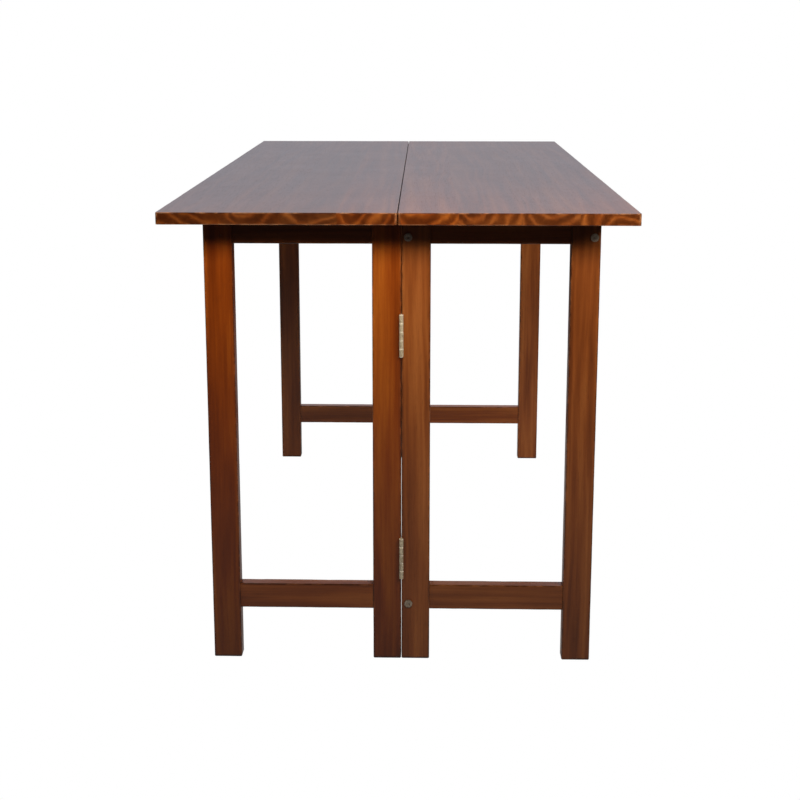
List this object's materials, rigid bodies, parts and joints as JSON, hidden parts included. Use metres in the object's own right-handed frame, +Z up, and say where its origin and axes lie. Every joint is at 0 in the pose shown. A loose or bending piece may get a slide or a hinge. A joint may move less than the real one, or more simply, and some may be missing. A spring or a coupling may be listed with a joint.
{
  "type": "gateleg table",
  "caption": "Gateleg table: a fixed half on framed ends, a drop leaf hinged along the centre seam, and butt-hinged gate frames that swing to carry the leaf.",
  "frame": {"origin": "on the floor under the middle of the raised top", "axes": "+Z up, +Y along the table's length, +X across it towards the fixed half, so the leaf is on -X"},
  "size_m": [0.7, 1.2, 0.75],
  "materials": {
    "top_wood": "dark walnut stain under satin lacquer",
    "frame_wood": "dark walnut stain under satin lacquer",
    "hidden_wood": "thinly stained, not lacquered",
    "dowel_wood": "bare hardwood",
    "hinge_metal": "dull brass plate",
    "screw_steel": "plated",
    "bolt_steel": "bronzed"
  },
  "bodies": {
    "fixed_frame": {"fixed_top": "top_wood", "front_centre_leg": "frame_wood", "front_outer_leg": "frame_wood", "front_fixed_rail": "frame_wood", "front_fixed_stretcher": "frame_wood", "back_centre_leg": "frame_wood", "back_outer_leg": "frame_wood", "back_fixed_rail": "frame_wood", "back_fixed_stretcher": "frame_wood", "outer_apron": "frame_wood", "centre_apron": "frame_wood", "long_stretcher": "frame_wood", "outer_cleat": "hidden_wood", "centre_cleat": "hidden_wood", "cleat_screws": "screw_steel", "frame_bolts": "bolt_steel", "barrel_nuts": "bolt_steel", "frame_dowels": "dowel_wood", "fixed_hinge_plates": "hinge_metal", "fixed_hinge_screws": "screw_steel", "gate_hinge_pins": "hinge_metal", "leaf_hinge_apron_plates": "hinge_metal", "leaf_hinge_apron_screws": "screw_steel", "leaf_hinge_pins": "hinge_metal"},
    "leaf": {"leaf_top": "top_wood", "leaf_hinge_leaf_plates": "hinge_metal", "leaf_hinge_leaf_screws": "screw_steel"},
    "front_gate": {"front_gate_outer_leg": "frame_wood", "front_gate_inner_leg": "frame_wood", "front_gate_rail": "frame_wood", "front_gate_stretcher": "frame_wood", "front_gate_hinge_plates": "hinge_metal", "front_gate_hinge_screws": "screw_steel", "front_gate_rail_pin": "bolt_steel"},
    "back_gate": {"back_gate_outer_leg": "frame_wood", "back_gate_inner_leg": "frame_wood", "back_gate_rail": "frame_wood", "back_gate_stretcher": "frame_wood", "back_gate_hinge_plates": "hinge_metal", "back_gate_hinge_screws": "screw_steel", "back_gate_rail_pin": "bolt_steel"}
  },
  "joints": [
    {"name": "front_gate_swing", "type": "hinge", "parent": "fixed_frame", "child": "front_gate", "pos_m": [0.0035, -0.4938, 0], "axis": [0, 0, 1], "range_deg": [0, 180]},
    {"name": "back_gate_swing", "type": "hinge", "parent": "fixed_frame", "child": "back_gate", "pos_m": [0.0035, 0.4938, 0], "axis": [0, 0, -1], "range_deg": [0, 180]},
    {"name": "leaf_lift", "type": "hinge", "parent": "fixed_frame", "child": "leaf", "pos_m": [0.0007, 0, 0.7287], "axis": [0, 1, 0], "range_deg": [0, 2]}
  ]
}
